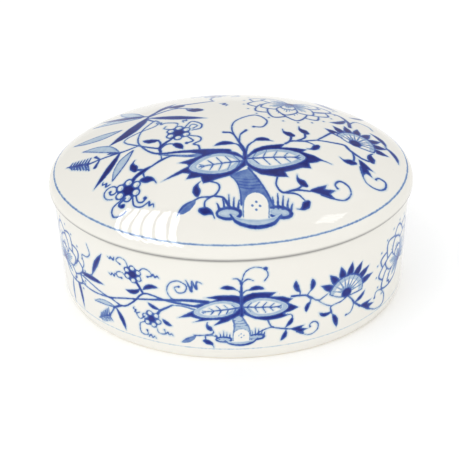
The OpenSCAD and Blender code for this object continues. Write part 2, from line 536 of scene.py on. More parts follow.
def lidPainting(on):
    tree(at(on, 5.5, -17.8))
    bank(at(on, 5.5, -34.8))
    crownSprig(at(on, 5.5, -17.8))
    sideSprig(at(on, 18, -8.6))
    # flower at the right and what hangs round it
    brush(on, [(28.2, -4), (31, -0.4), (33.6, 3.4)], [0.6, 0.9])
    brush(on, [(28.2, -4), (33, -3.6), (37, -3.4), (38.4, -5)], [0.6, 0.7, 1])
    aster(at(on, 40.8, -0.4, -18))
    brush(on, [(37, -3.4), (39, -5.8), (42.6, -8.4)], [0.7, 1.1, 0.8])
    bud(on, 45.6, -7.2, 86, 0.95)
    brush(on, [(42.2, -8.2), (44.4, -8.6), (45.6, -8.2)], 0.9)
    brush(on, [(39.4, -6), (40, -8.6), (39.8, -10.4)], [0.8, 0.8])
    bud(on, 38.8, -11.8, 168, 0.95)
    acanthus(at(on, 41.2, -8.8, -66, 0.95))
    # lower right sprig
    brush(on, [(15.5, -23.5), (15, -27), (17, -29.6), (21, -28.2), (25.2, -27.8)], [0.6, 0.8, 0.6])
    brush(on, [(17.2, -29.6), (21.4, -29.6), (23.8, -31.4)], [0.8, 0.5])
    bud(on, 24.2, -32.8, 220, 0.9)
    brush(on, [(19, -28.8), (21.6, -27.6), (23, -26.2)], [0.6, 0.8])
    bud(on, 23.2, -25.2, 126, 0.9)
    acanthus(at(on, 25, -27.8, 8, 0.98))
    # left sprig under the leaf
    brush(on, [(-5.4, -26.4), (-3, -27.4), (-2.6, -29.4), (-4.4, -31.8), (-8.2, -32), (-10, -32.8)],
          [0.6, 0.7, 0.6])
    bud(on, -9.6, -29.8, 80, 0.95)
    darkLeaf(on, (-9.6, -32.4), (-15, -37.2), 2.4, 0.05, "blue")
    darkLeaf(on, (-9.8, -32.8), (-15.6, -38), 1, -0.14)
    brush(on, [(-4.4, -31.8), (-1.4, -32.4), (0.6, -35.4)], [0.6, 0.8, 1.1])
    brush(on, [(-4.8, -31.8), (-6.8, -33.4), (-7, -35.2)], 0.6)
    bud(on, -6.9, -36.6, -30, 1)
    # the two vines that run out to the left
    brush(on, [(0, -13.8), (-8.9, -13.2), (-15, -12.8), (-21.5, -12.4), (-25.1, -10.6), (-28.4, -6.4),
               (-29.6, -2.5), (-28.6, 3), (-25.4, 8.2)], [2.2, 1.8, 1, 0.7, 0.6, 0.6])
    brush(on, [(-6, -15), (-12, -15.2), (-18, -14), (-22, -12.8)], [1.8, 1.2, 0.7], "blue")
    brush(on, [(-21.7, -10), (-26.9, -7.4), (-33.2, -3.2), (-33.9, -0.6), (-30, 2), (-24.8, 4.2),
               (-23.2, 6.6), (-24.6, 9)], [0.8, 0.6, 0.5, 0.6])
    brush(on, [(-21.6, -12.2), (-21.2, -14.6), (-21.4, -15.6)], 0.5)
    brush(on, [(-12, -15), (-17.6, -14.2), (-21.4, -15.6), (-25.6, -18.4), (-28.6, -18)],
          [0.5, 0.5, 1, 0.8, 0.9])
    bud(on, -29.9, -16.9, 96, 0.95)
    brush(on, [(-24.6, -17.8), (-26.6, -19.8), (-26.2, -21.8)], [0.8, 0.6])
    bud(on, -25.6, -22.8, -24, 1)
    brush(on, [(-24.4, -17.6), (-27, -19.2), (-29.2, -21), (-30.4, -23)], [0.8, 1.9, 1.4, 1.6])
    berryCluster(at(on, -31.2, -25.5))
    spiral(on, -36.4, -24.6, 280, -1.3, 3, 0.6)
    squiggle(on, -37.6, -21.8, 140, 2, 1)
    brush(on, [(-33, -28.4), (-35.8, -30.8), (-35.4, -33.6), (-33, -34), (-31.4, -33)], 0.55)
    brush(on, [(-32, -28.4), (-33.8, -30), (-33, -31.2)], [0.8, 1])
    dot(on, -32.6, -30.9, 1.7)
    curl(on, [(-28.6, -28.2), (-27.8, -30.6), (-26.2, -31), (-25.6, -29.8)], 0.6, 1.4)
    brush(on, [(-29.6, -28.6), (-29, -31.6), (-26.8, -32.6), (-25, -31.8)], 0.6)
    squiggle(on, -25.2, -31.6, -30, 2, 1)
    # upper berries
    brush(on, [(-21.6, -11.6), (-22, -9.4), (-20.8, -7.6), (-18.4, -5.4)], [1, 1.3, 0.9])
    darkLeaf(on, (-22.4, -5), (-28, -3.6), 2.4, 0.1)
    brush(on, [(-21.8, -9.2), (-22, -6.6), (-22.8, -5.2)], [0.9, 0.6])
    brush(on, [(-21.8, -9.6), (-19.8, -8), (-17.8, -8.2)], [0.8, 0.6])
    darkLeaf(on, (-18, -8.2), (-14.6, -11.4), 2.6, 0.1, tail=0.1)
    berryCluster(at(on, -16.4, -2.2), 1.9)
    brush(on, [(-19, 0.4), (-21.2, 1.6), (-20.8, 3)], 0.55)
    curl(on, [(-17.6, 0.8), (-17, 4), (-20.2, 5.4), (-22, 5.4)], 0.55, 0)
    squiggle(on, -21.4, 5.2, 150, 2, 1.1)
    curl(on, [(-14.4, 0.8), (-12.4, 4.4), (-9.2, 2.2), (-9.3, -0.6), (-12, -1.4)], 0.6, 0)
    curl(on, [(-13.2, 0.2), (-12.2, 2.4), (-10.4, 1.2), (-11.6, -0.2)], 0.5, 0.8)
    squiggle(on, -15.4, 4.8, 40, 2, 0.9)
    curl(on, [(-12.4, -4.6), (-9.4, -5.8), (-9, -7.8), (-11.2, -9.4), (-9.6, -10.4), (-9.2, -12)], 0.65,
         0.9)
    curl(on, [(-13.4, -5), (-11.4, -7.6), (-13.4, -8.6)], 0.6, 1.3)
    # far left spray
    brush(on, [(-29, -6), (-32.4, -7), (-35.4, -7.4), (-39, -6.4)], [0.6, 0.7, 0.8])
    paleLeaf(on, (-35.4, -7.2), (-48.2, 0.2), 3.2, -0.08)
    paleLeaf(on, (-30.8, -8), (-36.6, -20.2), 2.8, -0.05)
    darkLeaf(on, (-34.8, -7), (-42.6, -21.6), 2.4, 0.03)
    brush(on, [(-34.8, -7.4), (-40, -7.8), (-46, -8.6)], [0.8, 0.7, 0.9])
    feather(at(on, -45, -8.4, 170, 1, -1))
    brush(on, [(-41.6, -8), (-43.4, -5.8)], [0.5, 1.1])
    brush(on, [(-41.8, -8.2), (-43, -11.4)], [0.6, 1.3])
    # bamboo leaves behind them
    darkLeaf(on, (-27.4, 12.4), (-7.4, 6), 3, -0.03)
    darkLeaf(on, (-27, 14), (-39.4, -1.8), 4.4, 0.08)
    paleLeaf(on, (-36, 7.2), (-52, 7.2), 3.6, 0.06)
    paleLeaf(on, (-30, 14), (-46.6, 18.4), 3.6, -0.05)
    paleLeaf(on, (-29, 15), (-38, 27), 3.4, 0.06)
    darkLeaf(on, (-27, 14), (-44.6, 22.6), 2.8, 0.03)
    darkLeaf(on, (-26, 14.6), (-18.4, 24), 2, 0.06)
    brush(on, [(-25, 8.2), (-27.6, 12), (-26, 15.6), (-20, 20.6), (-13.4, 21), (-6, 22.6)], [0.7, 1.2, 0.8])
    brush(on, [(-27, 13.6), (-19, 17.4), (-12.4, 15.4)], [0.9, 0.6])
    bud(on, -18, 19.6, 160, 1.2)
    bud(on, -11.4, 13.6, 150, 1.2)
    # peony behind, and more berries and leaves at the back
    peony(at(on, 19.6, 20.6, 172), 13.6)
    brush(on, [(28, 17.4), (35.2, 20), (39, 15.2), (39.6, 10.6)], [0.6, 1, 1.4])
    darkLeaf(on, (38.2, 15.8), (32.8, 10.4), 2.2, 0.16)
    brush(on, [(39.4, 13), (42, 17.6), (46, 16.6), (47.4, 14)], 0.5)
    darkLeaf(on, (46.4, 10.6), (51.4, 3.6), 2, 0.12)
    darkLeaf(on, (50.6, 3.8), (54.8, -4.2), 1.8, 0.12)
    berryCluster(at(on, -6, 33, 20), 1.9)
    curl(on, [(-8.8, 34), (-12.6, 36.4), (-13.4, 32.6), (-11.2, 32)], 0.6, 1.1)
    curl(on, [(-2.8, 32.4), (0.8, 34.4), (2.4, 30.6), (0.4, 29.8)], 0.6, 1.1)
    brush(on, [(-6, 30), (-7, 26), (-6, 22.6)], [0.8, 0.6])
    squiggle(on, -3, 19.6, -60, 2, 1.2)
    darkLeaf(on, (36, 25), (28, 37.6), 2.4, 0.08)
    darkLeaf(on, (40, 21), (45, 25), 1.8, -0.1)
    spiral(on, 12, 40, 180, 1.4, 3.4, 0.8)


def wallHalf(on):
    # half of the frieze; it is painted twice round the wall
    wallTree(on)
    bank(at(on, 1.5, 10.4, size=0.68, tall=0.85))
    curl(on, [(4.1, 31.4), (5.4, 35.4), (8.2, 37), (11.4, 36), (12.4, 33.6), (11.2, 31.4)], 0.45, 0)
    dot(on, 11.6, 36.2, 1.5)
    dot(on, 4.1, 31, 1.2)
    brush(on, [(4.1, 31), (3, 32.8), (1.6, 33)], [0.5, 0.6, 0.4])
    brush(on, [(4.1, 31), (6, 32.6), (7.8, 31.9)], [0.5, 0.6, 0.4])
    brush(on, [(4.2, 26.6), (5.2, 28), (6.8, 28.6)], 0.5)
    darkLeaf(on, (6.2, 28.2), (11.4, 28.2), 1.9, 0.16)
    brush(on, [(3.9, 26.6), (3.2, 28.2), (1.6, 29)], 0.5)
    darkLeaf(on, (2.2, 28.9), (-2.6, 29.2), 1.9, -0.1)
    # right upper sprig to the flower
    brush(on, [(20, 24), (22.6, 23.7), (25.2, 23), (28.7, 20.2), (31, 20.8), (33, 22)], [0.9, 0.7, 0.5])
    darkLeaf(on, (22.8, 25), (21.3, 30), 2, 0.12)
    brush(on, [(22.6, 23.6), (22.8, 25.4)], 0.5)
    darkLeaf(on, (26.4, 24.6), (26.6, 29.4), 2, -0.12)
    brush(on, [(25, 23), (26.4, 25)], 0.5)
    brush(on, [(25, 23), (26.2, 21.4), (26.2, 19.6)], 0.5)
    darkLeaf(on, (26.3, 20.4), (25, 16.4), 1.8, -0.12)
    brush(on, [(28.7, 20.2), (31.2, 17.8), (33.6, 16.2)], 0.45)
    aster(at(on, 39.5, 19.4, -9), 7, 134, 6.6, 11.4)
    # below the flower
    brush(on, [(39.4, 17.4), (37.4, 16.6), (35.4, 16.4), (33.6, 15.8), (34.1, 13.2)], [0.6, 0.5, 0.7])
    darkLeaf(on, (34, 13.8), (29.4, 15), 1.7, 0.22)
    darkLeaf(on, (34.3, 12.8), (36.2, 6.6), 2.1, 0.06)
    brush(on, [(40.4, 17.4), (41.8, 15.8), (43.4, 13.4), (45.6, 11.2)], [0.6, 0.7, 0.9])
    darkLeaf(on, (43.2, 13.9), (47.4, 16.9), 1.8, -0.12)
    curl(on, [(41.8, 15.6), (42.6, 13.2), (41.6, 10.6), (39.8, 10.2)], 0.45, 0.9)
    acanthus(at(on, 45, 11.4, -24, 0.84), loop=False)
    curl(on, [(49.4, 8.4), (53.4, 5.8), (57.4, 5.8), (58, 9.2), (55.8, 12.4), (53.2, 12.8), (52.6, 10.8)],
         0.5, 1)
    # sprig to the right of the stem
    brush(on, [(12.2, 16), (13.4, 13.2), (15.6, 12.1), (19.6, 11)], [0.6, 0.7])
    brush(on, [(14, 12.9), (11.4, 12.3), (8.8, 11)], 0.5)
    darkLeaf(on, (18.2, 12.2), (20.4, 15.8), 1.7, -0.1)
    brush(on, [(20.3, 15.4), (20.1, 16.6), (18.6, 17.2)], 0.45)
    darkLeaf(on, (18.2, 10.8), (16.4, 6.8), 1.8, 0.1)
    acanthus(at(on, 19.4, 11, -18, 0.72))
    # sprig to the left of the stem
    brush(on, [(-6, 13.4), (-5.2, 11.4), (-8, 10.3), (-11.6, 9.9)], [0.5, 0.6])
    bud(on, -6.4, 13.2, 110, 0.65)
    darkLeaf(on, (-10.8, 9.9), (-16, 6.4), 1.9, 0.06, "blue")
    darkLeaf(on, (-11.2, 9.6), (-15.8, 6.6), 0.9, -0.05)
    brush(on, [(-8, 10.3), (-5, 10.2), (-3.2, 8.8)], 0.55)
    bud(on, -7.2, 7.6, -40, 0.75)
    brush(on, [(-8, 10.2), (-7.6, 8.4)], 0.5)
    # vines out to the left
    brush(on, [(-6.6, 23.6), (-12, 23.8), (-17.4, 23.2), (-25.6, 21.7), (-34.6, 19.4), (-41.4, 17.2),
               (-49, 16.1), (-56, 16.6)], [1.6, 0.9, 0.6, 0.6, 0.6])
    brush(on, [(-9.8, 21.6), (-14.4, 22), (-20, 22.5), (-25, 23.6), (-28.2, 23.2), (-31.8, 19),
               (-36, 15.8), (-40.4, 16.8), (-45.6, 17.8), (-52, 19.4), (-58, 20)], [1, 0.7, 0.6, 0.6])
    brush(on, [(-11, 20.4), (-14.6, 21.2), (-18.2, 21)], [0.8, 0.5], "blue")
    brush(on, [(-28, 23.6), (-29, 25.6), (-30.2, 27.6)], [0.9, 1.1])
    darkLeaf(on, (-29, 24.8), (-34.4, 23), 2, 0.16)
    darkLeaf(on, (-27.8, 25), (-22.4, 27), 2, 0.16)
    berryCluster(at(on, -31.1, 30, 0, 0.8), 1.9)
    curl(on, [(-32.6, 31.8), (-33.4, 34.6), (-35.6, 35.2), (-37, 33.6), (-35.6, 32.6)], 0.45, 0.9)
    squiggle(on, -37.6, 34, 190, 2, 0.9)
    curl(on, [(-33.8, 28.4), (-35.4, 29.6), (-37.2, 28.8), (-37, 27.2), (-35.4, 27.2)], 0.45, 0.9)
    squiggle(on, -37.8, 27.6, 190, 2, 0.9)
    curl(on, [(-28.8, 31.8), (-27.2, 33.4), (-25.2, 33), (-24.4, 31.4), (-25.8, 30.6)], 0.45, 0.9)
    squiggle(on, -24.6, 31.4, -5, 2, 0.9)
    # spiral and wave between berries and tree
    curl(on, [(-15.6, 23.2), (-18.4, 24), (-19.6, 26.6), (-18.6, 29.6), (-15.8, 31), (-13.2, 29.4),
              (-13.8, 27), (-16, 26.4), (-17, 28.2), (-15.6, 28.8)], 0.5, 0.9)
    brush(on, [(-13.2, 31.6), (-12.4, 29.8), (-11.6, 27.4), (-11.4, 29.8), (-11.3, 31.6), (-10.4, 29.4),
               (-9.9, 28.6), (-9.8, 31.4), (-8.2, 30.8)], [0.45, 0.9, 0.5, 0.8, 0.45])
    # lower berries
    brush(on, [(-18, 21.2), (-20.2, 19.6), (-22.4, 18), (-23.4, 16.4)], [0.6, 0.9, 1.1])
    darkLeaf(on, (-22.6, 18.4), (-26.6, 20.4), 1.7, 0.1)
    berryCluster(at(on, -25.6, 13.9, 14, 0.8), 1.9)
    darkLeaf(on, (-21.8, 14.8), (-18.6, 12.6), 1.8, -0.1)
    curl(on, [(-28, 12.2), (-30, 10.8), (-29.8, 7.2), (-27.4, 7), (-27.6, 8.8)], 0.45, 0.8)
    squiggle(on, -27, 6.8, -8, 2, 0.85)
    curl(on, [(-24.2, 11.2), (-23.4, 8.8), (-21.2, 8.8), (-21.4, 10.4)], 0.45, 0.8)
    squiggle(on, -21, 9.2, -8, 2, 0.85)
    curl(on, [(-27.8, 14.6), (-29.8, 12.8), (-31, 14.6), (-29.8, 15.4)], 0.45, 0)
    squiggle(on, -30.8, 14.8, 118, 2, 0.8)
    # spray at the far left
    darkLeaf(on, (-48.5, 23.1), (-42.8, 33.8), 2.1, 0.03)
    brush(on, [(-53.6, 20), (-48.5, 23.1)], 0.45)
    darkLeaf(on, (-55.4, 20.8), (-43.2, 21.4), 2.3, 0.03)
    darkLeaf(on, (-58.6, 20.4), (-55.6, 5.4), 1.9, 0.03)
    darkLeaf(on, (-61.4, 15), (-61.8, 4.2), 1.5, -0.05, "blue")
    brush(on, [(-60, 22.6), (-57, 19.4), (-53, 17)], [0.8, 0.6])
    curl(on, [(-55, 21.4), (-52.4, 25), (-53, 28.6), (-50.2, 29.2), (-48.6, 31.2), (-49.6, 34.6)], 0.45, 0)
    brush(on, [(-36.4, 15.8), (-38.2, 14.8), (-40, 13.6)], [0.7, 1])
    paleLeaf(on, (-39.4, 14), (-48.6, 12.6), 1.7, -0.08)
    darkLeaf(on, (-39.2, 14.2), (-35.8, 5.8), 2, 0.06)
    brush(on, [(-39.8, 13.6), (-41, 11.4), (-42.4, 9.4)], [0.6, 0.7])
    feather(at(on, -41.8, 9.8, 205, 0.8))
    peony(at(on, -66, 22, -14), 12.2)
    peony(at(on, 67, 20, 22), 12.6)
    # the end of the oval
    brush(on, [(74, 20), (79, 17), (84, 20.6), (89, 24), (94, 21)], [0.7, 0.8, 0.7])
    darkLeaf(on, (79, 17.4), (76, 8), 2, 0.08)
    darkLeaf(on, (84, 20.6), (79.8, 31), 2, -0.08)
    paleLeaf(on, (86, 22), (90.4, 34), 2.6, 0.05)
    berryCluster(at(on, 86.6, 12.4, 30, 0.8), 1.9)
    brush(on, [(84.4, 20.4), (86.4, 15.6)], [0.7, 0.8])
    curl(on, [(83.8, 11.4), (81.2, 9), (83, 7.4), (84.6, 8.6)], 0.5, 0.9)
    curl(on, [(89.2, 12.6), (92.6, 14.2), (93.8, 11), (91.8, 10.2)], 0.5, 0.9)


def keepPainting(piece, art, bare, seamShadow, load):
    # hands the painting to the glaze: bare is 1 where the porcelain is unglazed, the seam value is 1 where
    # painted shade darkens the joint between lid and body, and load is how full the brush was
    attributes = piece.data.attributes
    layers = np.column_stack([art[layer] for layer in paintLayers])
    made = attributes.new("cobalt", "FLOAT_VECTOR", "POINT")
    made.data.foreach_set("vector", layers.astype(np.float32).ravel())
    for key, values in (("bare", bare), ("seamShadow", seamShadow), ("load", load)):
        made = attributes.new(key, "FLOAT", "POINT")
        made.data.foreach_set("value", np.asarray(values, np.float32))


glazeLook = {
    "porcelain": (0.755, 0.74, 0.692, 1),
    "palest": (0.47, 0.56, 0.63, 1),
    "pale": (0.21, 0.32, 0.50, 1),
    "middle": (0.042, 0.095, 0.34, 1),
    "full": (0.012, 0.026, 0.21, 1),
    "deepest": (0.006, 0.009, 0.12, 1),
    "cloud": (0.86, 0.80, 0.66, 1),         # faint cream clouds in the body
    "speck": (0.30, 0.24, 0.18, 1),         # a few iron specks
    "biscuit": (0.78, 0.745, 0.66, 1),
    "biscuitGrain": (0.70, 0.62, 0.48, 1),
    "seamShade": (0.20, 0.20, 0.195, 1),
    "glazeRough": 0.02,
    "biscuitRough": 0.72,
    "mirror": 0.19,         # strength of the reflections, 0.5 for plain glass
    "edgeSoft": 0.16,       # half the width of a stroke's soft edge
    "bleed": 0.75,          # how far thin colour creeps out of a stroke
}

# how much cobalt each colour stands for
cobaltSteps = (("palest", 0.16), ("pale", 0.34), ("middle", 0.58), ("full", 0.82), ("deepest", 1.0))


def feed(tree, socket, value):
    # a plain value is set on the socket, anything else is linked to it
    if isinstance(value, (int, float, tuple)):
        socket.default_value = value
    else:
        tree.links.new(value, socket)


def mathNode(tree, kind, *values, clamp=False):
    node = tree.nodes.new("ShaderNodeMath")
    node.operation = kind
    node.use_clamp = clamp
    for socket, value in zip(node.inputs, values):
        feed(tree, socket, value)
    return node.outputs[0]


def ease(tree, value, low, high):
    # 0 below low, 1 above high, smooth between
    node = tree.nodes.new("ShaderNodeMapRange")
    node.interpolation_type = "SMOOTHSTEP"
    for socket, given in (("From Min", low), ("From Max", high), ("Value", value)):
        feed(tree, node.inputs[socket], given)
    return node.outputs["Result"]


def noiseNode(tree, where, scale, detail=3.0, rough=0.55):
    node = tree.nodes.new("ShaderNodeTexNoise")
    for socket, given in (("Scale", scale), ("Detail", detail), ("Roughness", rough), ("Vector", where)):
        feed(tree, node.inputs[socket], given)
    return node.outputs["Fac"]


def mixNode(tree, factor, a, b, blend="MIX"):
    node = tree.nodes.new("ShaderNodeMix")
    node.data_type = "RGBA"
    node.blend_type = blend
    for socket, given in (("Factor", factor), ("A", a), ("B", b)):
        feed(tree, node.inputs[socket], given)
    return node.outputs["Result"]


def attributeNode(tree, name, output="Fac"):
    node = tree.nodes.new("ShaderNodeAttribute")
    node.attribute_name = name
    return node.outputs[output]


def splitNode(tree, vector):
    node = tree.nodes.new("ShaderNodeSeparateXYZ")
    tree.links.new(vector, node.inputs[0])
    return node.outputs


def cobaltDensity(tree, where):
    # how much cobalt lies at each point, from 0 to 1
    soft = glazeLook["edgeSoft"]
    # a hand's wobble, and pools where the brush left more colour
    wobble = mathNode(tree, "SUBTRACT", noiseNode(tree, where, 1100, 2), 0.5)
    wobble = mathNode(tree, "MULTIPLY", wobble, 0.30)
    pools = noiseNode(tree, where, 420, 3, 0.6)
    drift = noiseNode(tree, where, 45, 2, 0.5)
    layers = splitNode(tree, attributeNode(tree, "cobalt", "Vector"))
    ink, blue, wash = (mathNode(tree, "ADD", layers[k], wobble) for k in range(3))
    inkCore = mathNode(tree, "MULTIPLY", ease(tree, ink, 0.1, 0.8), 0.34)
    inkDepth = mathNode(tree, "ADD", mathNode(tree, "MULTIPLY_ADD", pools, 0.40, 0.42), inkCore)
    inkDepth = mathNode(tree, "MULTIPLY", inkDepth, mathNode(tree, "MULTIPLY_ADD", drift, 0.5, 0.72))
    blueDepth = mathNode(tree, "MULTIPLY_ADD", pools, 0.34, 0.33)
    washEdge = mathNode(tree, "MULTIPLY", mathNode(tree, "SUBTRACT", 1.0, ease(tree, wash, 0.0, 0.9)), 0.10)
    washDepth = mathNode(tree, "ADD", mathNode(tree, "MULTIPLY_ADD", pools, 0.22, 0.10), washEdge)
    density = mathNode(tree, "MULTIPLY", ease(tree, wash, -soft * 2.5, soft * 2.5), washDepth)
    for mask, depth in ((ease(tree, ink, -glazeLook["bleed"], 0.1), 0.13),
                        (ease(tree, blue, -soft, soft), blueDepth),
                        (ease(tree, ink, -soft, soft), inkDepth)):
        density = mathNode(tree, "MAXIMUM", density, mathNode(tree, "MULTIPLY", mask, depth), clamp=True)
    return mathNode(tree, "MULTIPLY", density, attributeNode(tree, "load"), clamp=True)


def paintedPorcelain(name):
    material = bpy.data.materials.new(name)
    material.use_nodes = True
    tree = material.node_tree
    tree.nodes.clear()
    out = tree.nodes.new("ShaderNodeOutputMaterial")
    shader = tree.nodes.new("ShaderNodeBsdfPrincipled")
    tree.links.new(shader.outputs[0], out.inputs["Surface"])
    where = tree.nodes.new("ShaderNodeTexCoord").outputs["Object"]
    bare = attributeNode(tree, "bare")
    ramp = tree.nodes.new("ShaderNodeValToRGB")
    tree.links.new(cobaltDensity(tree, where), ramp.inputs[0])
    stops = ramp.color_ramp.elements
    stops.remove(stops[1])
    stops[0].position = 0.0
    stops[0].color = glazeLook["porcelain"]
    for key, density in cobaltSteps:
        stops.new(density).color = glazeLook[key]
    haze = mathNode(tree, "MULTIPLY", noiseNode(tree, where, 28, 4, 0.6), 0.10)
    glazed = mixNode(tree, haze, ramp.outputs[0], glazeLook["cloud"], "MULTIPLY")
    specks = tree.nodes.new("ShaderNodeTexVoronoi")
    feed(tree, specks.inputs["Scale"], 190)
    tree.links.new(where, specks.inputs["Vector"])
    spot = mathNode(tree, "SUBTRACT", 1.0, ease(tree, specks.outputs["Distance"], 0.02, 0.06))
    chosen = ease(tree, splitNode(tree, specks.outputs["Color"])[0], 0.90, 0.92)
    spot = mathNode(tree, "MULTIPLY", mathNode(tree, "MULTIPLY", spot, chosen), 0.35)
    glazed = mixNode(tree, spot, glazed, glazeLook["speck"])
    # biscuit on the seat and the foot, and painted shade darkening the seam between lid and body
    grain = noiseNode(tree, where, 2600, 3, 0.65)
    coarse = mathNode(tree, "MULTIPLY", grain, 0.30)
    biscuit = mixNode(tree, coarse, glazeLook["biscuit"], glazeLook["biscuitGrain"], "MULTIPLY")
    # painted shade: the seam is darkened in the base colour to stand for the shadow in the gap
    paintedShade = mathNode(tree, "MULTIPLY", attributeNode(tree, "seamShadow"), 0.92)
    colour = mixNode(tree, paintedShade, mixNode(tree, bare, glazed, biscuit), glazeLook["seamShade"])
    tree.links.new(colour, shader.inputs["Base Color"])
    smooth = glazeLook["glazeRough"]
    gloss = mathNode(tree, "MULTIPLY_ADD", noiseNode(tree, where, 140, 2), 0.03, smooth - 0.015)
    rough = mathNode(tree, "MULTIPLY_ADD", bare, glazeLook["biscuitRough"] - smooth, gloss)
    tree.links.new(rough, shader.inputs["Roughness"])
    feed(tree, shader.inputs["IOR"], 1.52)
    feed(tree, shader.inputs["Specular IOR Level"], glazeLook["mirror"])
    # the glaze lies in slow waves; the biscuit has a fine grain
    waves = mathNode(tree, "MULTIPLY", noiseNode(tree, where, 75, 2, 0.4), 0.00012)
    tooth = mathNode(tree, "MULTIPLY", mathNode(tree, "MULTIPLY", grain, bare), 0.00006)
    bump = tree.nodes.new("ShaderNodeBump")
    feed(tree, bump.inputs["Strength"], 1.0)
    feed(tree, bump.inputs["Distance"], 1.0)
    feed(tree, bump.inputs["Height"], mathNode(tree, "ADD", waves, tooth))
    tree.links.new(bump.outputs[0], shader.inputs["Normal"])
    return material


bodyShape = {
    "height": 40.0,
    "rimRadius": 58.8,      # along the length, at the flat rim
    "lean": 1.1,            # the wall leans in this much down to the foot
    "wall": 4.2,
    "footHeight": 4.5,
    "footRoll": 7.5,
    "footWidth": 2.8,
    "hollow": 1.6,
    "floor": 3.2,
    "cove": 6.0,
    "edge": 0.7,
    "softEdge": 0.5,
    "wayRound": 333.5,      # length of the painted band round the wall
    "footLine": 4.8,        # height of the blue line above the foot
}


def placesOf(piece):
    # where the vertices are, and how far out along the length of the oval
    co = np.zeros(len(piece.data.vertices) * 3)
    piece.data.vertices.foreach_get("co", co)
    co = co.reshape(-1, 3) / mm
    return co, np.hypot(co[:, 0], co[:, 1] / ovalShape["narrow"])


def buildBody():
    s = bodyShape
    top = s["height"]
    edge = s["edge"]
    soft = s["softEdge"]
    fine = ovalShape["fineSteps"]
    pitch = ovalShape["finePitch"]
    footX = s["rimRadius"] - s["lean"]
    lean = math.degrees(math.atan2(s["lean"], top - s["footHeight"]))
    rollX = footX - s["footRoll"] * math.cos(math.radians(lean))
    rollZ = s["footHeight"] + s["footRoll"] * math.sin(math.radians(lean))
    reach = s["footRoll"] - soft
    ringX = rollX + math.sqrt(reach ** 2 - (rollZ - soft) ** 2)
    ringAngle = math.degrees(math.atan2(rollZ - soft, ringX - rollX))
    hollowX = ringX - s["footWidth"]
    floorZ = s["hollow"] + s["floor"]
    innerTop = s["rimRadius"] - s["wall"]
    innerLean = s["lean"] / (top - s["footHeight"])
    coveX = innerTop - innerLean * (top - floorZ - s["cove"]) - s["cove"]
    rings = [(0, s["hollow"], 1)]

    def add(points, steps):
        rings.extend((x, max(z, 0.0), steps) for x, z in points)

    # underneath, from the middle out to the ring
    for r, n in ((6, 56), (14, 56), (26, 112), (38, 112), (48, 224), (hollowX - 0.4, 224), (hollowX, 224)):
        rings.append((r, s["hollow"], n))
    add(arcPoints((hollowX + soft, soft), soft, 180, 255, 4)[1:], fine // 4)
    add(arcPoints((ringX, soft), soft, -75, -ringAngle, 4), fine // 2)
    # the turn, the wall and the rim outside
    add(spreadPoints(arcPoints((rollX, rollZ), s["footRoll"], -ringAngle, -lean, 14), pitch)[1:], fine)
    add(spreadPoints([(footX, s["footHeight"]), (s["rimRadius"], top - edge)], pitch)[1:], fine)
    rim = arcPoints((s["rimRadius"] - edge, top - edge), edge, 0, 90, 5)
    add(rim[1:3], fine)
    add(rim[3:], fine // 2)
    # down the inside and over the floor
    inside = arcPoints((innerTop + edge, top - edge), edge, 90, 180, 5)
    add(inside, fine // 4)
    add(spreadPoints([inside[-1], (coveX + s["cove"], floorZ + s["cove"])], 4)[1:], fine // 4)
    add(arcPoints((coveX, floorZ + s["cove"]), s["cove"], 0, -90, 10)[1:], fine // 4)
    for r, n in ((40, 112), (28, 112), (16, 56), (7, 56), (0, 1)):
        rings.append((r, floorZ, n))
    piece = turnedOval("box_body_porcelain", rings)
    co, radius = placesOf(piece)
    height = co[:, 2]
    # distance round the wall from the middle of the front
    around = s["wayRound"]
    table = evenAngles(3600)
    angle = np.arctan2(co[:, 1] / ovalShape["narrow"], co[:, 0]) % (2 * math.pi)
    run = np.interp(angle, np.append(table, 2 * math.pi), np.linspace(0, around, 3601))
    along = (run - around * 0.75 + around / 2) % around - around / 2
    outside = (radius > 55.0) & (height > 0.2) & (height < top - 0.05)
    outside &= (radius >= innerTop + 0.2) | (height <= floorZ - 0.1)
    art = newPainting(np.column_stack([along, np.where(outside, height, outOfReach)]), around)
    wallHalf(art)
    wallHalf(at(art, around / 2, 0))
    line = 0.17 - np.abs(height - s["footLine"])
    art["blue"] = np.where(outside, np.maximum(art["blue"], line), art["blue"])
    load = np.where(height < s["footLine"] + 0.8, 0.62, 0.93)
    bare = np.clip((0.75 - height) / 0.3, 0, 1) * (radius > hollowX - 0.5)
    flatRim = (height > top - 0.35) & (radius > innerTop - 0.5)
    bare = np.maximum(bare, flatRim * np.clip((height - top + 0.35) / 0.25, 0, 1))
    # painted shade along the outer top edge of the rim, for the shadow in the joint under the lid
    seamShadow = 0.7 * np.clip((height - top + 0.9) / 0.4, 0, 1) * (radius > s["rimRadius"] - 0.45)
    keepPainting(piece, art, bare, seamShadow, load)
    return piece


lidShape = {
    "radius": 60.0,
    "seat": 40.0,
    "rimRoll": 5.5,
    "rimStraight": 0.1,
    "rimSlope": 40.0,
    "shoulder": 24.0,
    "domeSlope": 24.5,
    "crest": 2.0,           # the middle of the dome is level this far out
    "thick": 3.6,
    "flangeRadius": 53.5,
    "flangeThick": 2.6,
    "flangeDepth": 4.0,
    "edge": 0.7,
    "softEdge": 0.5,
    "paintRadius": 56.4,    # the flowers and leaves end here
    "borderLine": 57.95,    # where the blue line runs round
    "widestStep": 0.0335,   # a ring this many times its steps across takes twice the steps
}


